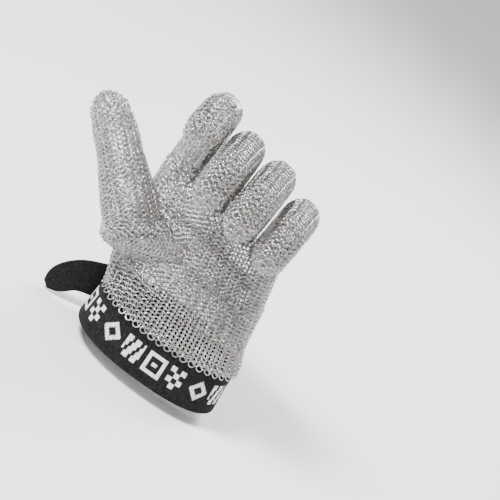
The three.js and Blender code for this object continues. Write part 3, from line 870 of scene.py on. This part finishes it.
def quad_piece(name, points, faces):
    """A smooth-shaded object from points and four-cornered faces."""
    mesh = bpy.data.meshes.new(name)
    mesh.vertices.add(len(points))
    mesh.vertices.foreach_set("co", points.astype(np.float32).ravel())
    mesh.loops.add(faces.size)
    mesh.loops.foreach_set("vertex_index", faces.ravel().astype(np.int32))
    total = len(faces)
    mesh.polygons.add(total)
    mesh.polygons.foreach_set("loop_start", np.arange(total, dtype=np.int32) * 4)
    mesh.polygons.foreach_set("loop_total", np.full(total, 4, np.int32))
    mesh.polygons.foreach_set("use_smooth", np.ones(total, bool))
    mesh.update()
    piece = bpy.data.objects.new(name, mesh)
    bpy.context.scene.collection.objects.link(piece)
    return piece


def threads(name, paths, radius, sides=3):
    """One mesh of many short threads, each along its own line of points."""
    count, steps = paths.shape[:2]
    tangent = unit(np.gradient(paths, axis=1))
    guide = unit(random.normal(0, 1, (count, 1, 3)))
    over = unit(np.cross(tangent, guide))
    up = np.cross(tangent, over)
    turn = np.arange(sides) * 2 * np.pi / sides
    ring = (
        np.cos(turn)[:, None] * over[:, :, None] + np.sin(turn)[:, None] * up[:, :, None]
    )
    points = (paths[:, :, None] + ring * radius).reshape(-1, 3)
    a = np.arange(steps - 1)[:, None]
    b = np.arange(sides)[None]
    b2 = (b + 1) % sides
    square = [(a, b), (a + 1, b), (a + 1, b2), (a, b2)]
    one = np.stack([i * sides + j for i, j in square], 2).reshape(1, -1)
    faces = (one + (np.arange(count) * steps * sides)[:, None]).reshape(-1, 4)
    piece = quad_piece(name, points, faces)
    grid = math.ceil(math.sqrt(count))
    u = np.stack([a + 0 * b, a + 1 + 0 * b, a + 1 + 0 * b, a + 0 * b], 2) / steps
    v = np.stack([b + 0 * a, b + 0 * a, b + 1 + 0 * a, b + 1 + 0 * a], 2) / (sides + 1)
    within = np.stack([u.ravel(), v.ravel()], 1)
    cell = np.stack([np.arange(count) % grid, np.arange(count) // grid], 1)
    places = ((cell[:, None] + within[None]) / grid).astype(np.float32)
    piece.data.uv_layers.new(name="OFBake").data.foreach_set("uv", places.ravel())
    return piece


def sunk(low, high, depth):
    """Edges moved in from the outer face."""
    tangent = unit(np.gradient((low + high) / 2, axis=0))
    normal = unit(np.cross(tangent, high - low))
    return low - normal * depth, high - normal * depth


def on_strip(low, high, along, across):
    """Places on a strip's outer face from shares of its length and width, with its three ways."""
    at = along * (len(low) - 1)
    stations = np.arange(len(low))
    bottom, top = (
        np.stack([np.interp(at, stations, edge[:, k]) for k in range(3)], 1)
        for edge in (low, high)
    )
    middle = (low + high) / 2
    slope = np.gradient(middle, axis=0)
    ahead = unit(np.stack([np.interp(at, stations, slope[:, k]) for k in range(3)], 1))
    place = bottom + (top - bottom) * across[:, None]
    normal = unit(np.cross(ahead, top - bottom))
    return place, ahead, unit(top - bottom), normal


def loop_pile(low, high):
    """The soft pile of tiny loops on the loop tape."""
    place, ahead, over, normal = on_strip(
        low, high, random.uniform(0.01, 0.99, LOOP_COUNT), random.uniform(0.02, 0.98, LOOP_COUNT)
    )
    spin = random.uniform(0, np.pi, LOOP_COUNT)[:, None]
    way = ahead * np.cos(spin) + over * np.sin(spin)
    size = random.uniform(*LOOP_RADII, LOOP_COUNT)[:, None, None] * MM
    turn = np.linspace(-0.4, np.pi + 0.4, 6)[None, :, None]
    foot = place - normal * (TAPE - TAPE_BACKING)
    tall = random.uniform(0.75, 1, LOOP_COUNT)[:, None, None] * (TAPE - TAPE_BACKING - 0.08 * MM)
    rise = np.maximum(np.sin(turn), -0.1) * tall
    paths = foot[:, None] + way[:, None] * np.cos(turn) * size + normal[:, None] * rise
    return threads("loop_tape_pile", paths, LOOP_THREAD)


def hook_field(low, high):
    """Rows of tiny hooks that stand inwards from the hook tape."""
    length = np.linalg.norm(np.diff((low + high) / 2, axis=0), axis=1).sum()
    width = np.linalg.norm(high - low, axis=1).mean()
    columns, rows = round(length / HOOK_PITCH), round(width / HOOK_PITCH)
    along = (np.arange(columns) + 0.5) / columns
    across = (np.arange(rows) + 0.5) / rows
    along, across = (g.ravel() for g in np.meshgrid(along, across, indexing="ij"))
    place, ahead, _, normal = on_strip(low, high, along, across)
    way = ahead * random.choice([-1, 1], len(ahead))[:, None]
    turn = np.linspace(0, np.pi * 0.9, 5)[None, :, None]
    stem = TAPE - TAPE_BACKING - 0.3 * MM
    hook_x = np.concatenate([np.zeros((1, 1, 1)), HOOK_BEND * (1 - np.cos(turn))], 1)
    hook_z = np.concatenate([np.zeros((1, 1, 1)), stem + HOOK_BEND * np.sin(turn)], 1)
    foot = place - normal * (TAPE_BACKING - 0.05 * MM)
    paths = foot[:, None] + way[:, None] * hook_x - normal[:, None] * hook_z
    return threads("hook_tape_hooks", paths, HOOK_WIRE)


def tail_edges(first_low, first_high):
    """The tail's edges on its outer face, from the flap's end to the tail's own rounded end."""
    points = np.unique(np.round(node_points("strap_tail"), 7), axis=0)
    left = list(points)
    pairs = []
    while left:
        point = left.pop()
        gaps = [np.linalg.norm(point - other) for other in left]
        if not gaps:
            break
        other = left.pop(int(np.argmin(np.abs(np.array(gaps) - WEBBING))))
        pairs.append((point + other) / 2)
    pairs = np.array(pairs)
    stations = len(pairs) // 2
    chains = []
    for edge in (first_low, first_high):
        here, chain = edge, []
        for _ in range(stations):
            near = int(np.argmin(np.linalg.norm(pairs - here, axis=1)))
            here = pairs[near]
            chain.append(here)
            pairs = np.delete(pairs, near, 0)
        chains.append(np.array([edge, *chain]))
    smooth = []
    for chain in chains:
        stations = np.arange(len(chain))
        steps = np.linspace(0, len(chain) - 1, TAIL_DETAIL * len(chain))
        fine = np.stack([np.interp(steps, stations, chain[:, k]) for k in range(3)], 1)
        smooth.append(softened(fine, TAIL_SOFTENING))
    return smooth


def strap(webbing, loop_tape, hook_tape):
    """The band, the flap and the tail as one run of webbing, and the two tapes between them."""
    low, high = strap_edges("wrist_strap_band")
    band = woven_strip("strap_band_weave", low, high, WEBBING, figured=True)
    band_end = low[-1], high[-1]
    finish(band, webbing, "wrist_strap_band")
    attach(band, "root")

    low, high = strap_edges("strap_flap")
    low = np.concatenate([[band_end[0]], low])
    high = np.concatenate([[band_end[1]], high])
    flap = woven_strip("strap_flap_weave", low, high, WEBBING)
    finish(flap, webbing, "strap_flap")
    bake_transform(flap)

    thin = WEBBING / 2
    middle_low, middle_high = sunk(low, high, thin)
    tail_low, tail_high = tail_edges(middle_low[-1], middle_high[-1])
    tail_low, tail_high = sunk(tail_low, tail_high, -thin)
    tail = woven_strip("strap_tail_weave", tail_low, tail_high, WEBBING)
    finish(tail, webbing, "strap_tail")
    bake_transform(tail)

    low, high = strap_edges("strap_loop_tape")
    base = sunk(low, high, TAPE - TAPE_BACKING)
    backing = woven_strip("loop_tape_backing", *base, TAPE_BACKING, relief=THREAD_RELIEF)
    pile = loop_pile(low, high)
    for piece in (backing, pile):
        finish(piece, loop_tape, "strap_loop_tape")
        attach(piece, "root")

    low, high = strap_edges("strap_hook_tape")
    backing = woven_strip("hook_tape_backing", low, high, TAPE_BACKING, relief=THREAD_RELIEF)
    hooks = hook_field(low, high)
    for piece in (backing, hooks):
        finish(piece, hook_tape, "strap_hook_tape")
        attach(piece, "strap_flap")


def finish(piece, material, node):
    """Gives a piece of the strap its material, in place of its CAD node."""
    piece.data.materials.append(material)
    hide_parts(node)


def fabric(name, dark, light, sheen, roughness=0.9):
    """Matte yarn, with the white figures of the weave where the mesh asks for them."""
    material, tree, shader = new_material(name)
    tone = add(tree, "ShaderNodeAttribute", attribute_name="tone")
    white = add(tree, "ShaderNodeAttribute", attribute_name="white")
    place = add(tree, "ShaderNodeTexCoord")
    fuzz = add(
        tree, "ShaderNodeTexNoise", {"Vector": place.outputs["Object"], "Scale": 2200, "Detail": 3}
    )
    level = add(
        tree,
        "ShaderNodeMath",
        {0: tone.outputs["Fac"], 1: 0.12, 2: fuzz.outputs["Fac"]},
        operation="MULTIPLY_ADD",
    )
    yarn = ramp(tree, level.outputs[0], 0.25, 0.8, [dark, light])
    thread = ramp(tree, level.outputs[0], 0.2, 0.7, [(0.42, 0.42, 0.42), (0.82, 0.82, 0.81)])
    mixed = add(
        tree,
        "ShaderNodeMix",
        {
            "Factor": white.outputs["Fac"],
            "A": yarn.outputs["Color"],
            "B": thread.outputs["Color"],
        },
        data_type="RGBA",
    )
    tree.links.new(mixed.outputs["Result"], shader.inputs["Base Color"])
    bump = add(
        tree,
        "ShaderNodeBump",
        {"Height": fuzz.outputs["Fac"], "Strength": 0.5, "Distance": 0.1 * MM},
    )
    tree.links.new(bump.outputs["Normal"], shader.inputs["Normal"])
    shader.inputs["Roughness"].default_value = roughness
    shader.inputs["Specular IOR Level"].default_value = 0.12
    shader.inputs["Sheen Weight"].default_value = sheen
    shader.inputs["Sheen Roughness"].default_value = 0.4
    return material


# ------------------------------------------------------------------ stage


def area_light(name, place, target, size, power):
    light = bpy.data.lights.new(name, "AREA")
    light.size = size
    light.energy = power
    lamp = bpy.data.objects.new(name, light)
    lamp.location = place
    lamp.rotation_euler = (Vector(target) - Vector(place)).to_track_quat("-Z", "Y").to_euler()
    bpy.context.scene.collection.objects.link(lamp)


def stage():
    """A pale floor, a soft dome of light with a darker band, and three lamps."""
    low = cad_box[0].z
    bpy.ops.mesh.primitive_plane_add(size=8, location=(0, 0, low - 1 * MM))
    floor = bpy.context.object
    floor.name = "floor"
    material, tree, shader = new_material("pale_floor")
    shader.inputs["Base Color"].default_value = (0.95, 0.95, 0.95, 1)
    shader.inputs["Roughness"].default_value = 0.8
    floor.data.materials.append(material)
    world = bpy.data.worlds.new("studio")
    world.use_nodes = True
    tree = world.node_tree
    sky = add(tree, "ShaderNodeTexCoord")
    height = add(tree, "ShaderNodeSeparateXYZ", {"Vector": sky.outputs["Generated"]})
    dome = ramp(tree, height.outputs["Z"], 0.3, 0.85, [(1, 1, 1), (1, 1, 1)])
    dark = dome.color_ramp.elements.new(0.5)
    dark.color = (0.12, 0.12, 0.125, 1)
    background = tree.nodes["Background"]
    tree.links.new(dome.outputs["Color"], background.inputs["Color"])
    background.inputs["Strength"].default_value = 0.9
    bpy.context.scene.world = world
    middle = (cad_box[0] + cad_box[1]) / 2
    area_light("key", (-0.5, -0.45, 0.8), middle, 0.25, 26)
    area_light("fill", (0.6, -0.5, 0.35), middle, 0.5, 2.5)
    area_light("rim", (0.2, 0.6, 0.6), middle, 0.4, 10)


def camera():
    """The photograph's view, from the palm side and a little above, turned about the line of sight."""
    data = bpy.data.cameras.new("camera")
    data.sensor_width = 36
    data.lens = 136.4
    cam = bpy.data.objects.new("camera", data)
    place = Vector((5.58, -827.9, 360.1)) * MM
    forward = Vector((0, 0.9455, -0.3256)).normalized()
    up = Vector((-0.629, 0.253, 0.735))
    right = forward.cross(up).normalized()
    up = right.cross(forward)
    turn = Matrix((right, up, -forward)).transposed()
    cam.matrix_world = Matrix.Translation(place) @ turn.to_4x4()
    bpy.context.scene.collection.objects.link(cam)
    bpy.context.scene.camera = cam


camera()
stage()
ring_steel = steel()
palm_mail(ring_steel)
thumb_mail(ring_steel)
strap(
    fabric("charcoal_webbing", (0.003, 0.003, 0.0035), (0.016, 0.016, 0.0175), 0.04),
    fabric("loop_pile", (0.008, 0.008, 0.009), (0.025, 0.025, 0.027), 0.15),
    fabric("hook_nylon", (0.006, 0.006, 0.007), (0.016, 0.016, 0.017), 0.0, 0.45),
)
for finger in FINGERS:
    finger_mail(finger, ring_steel)
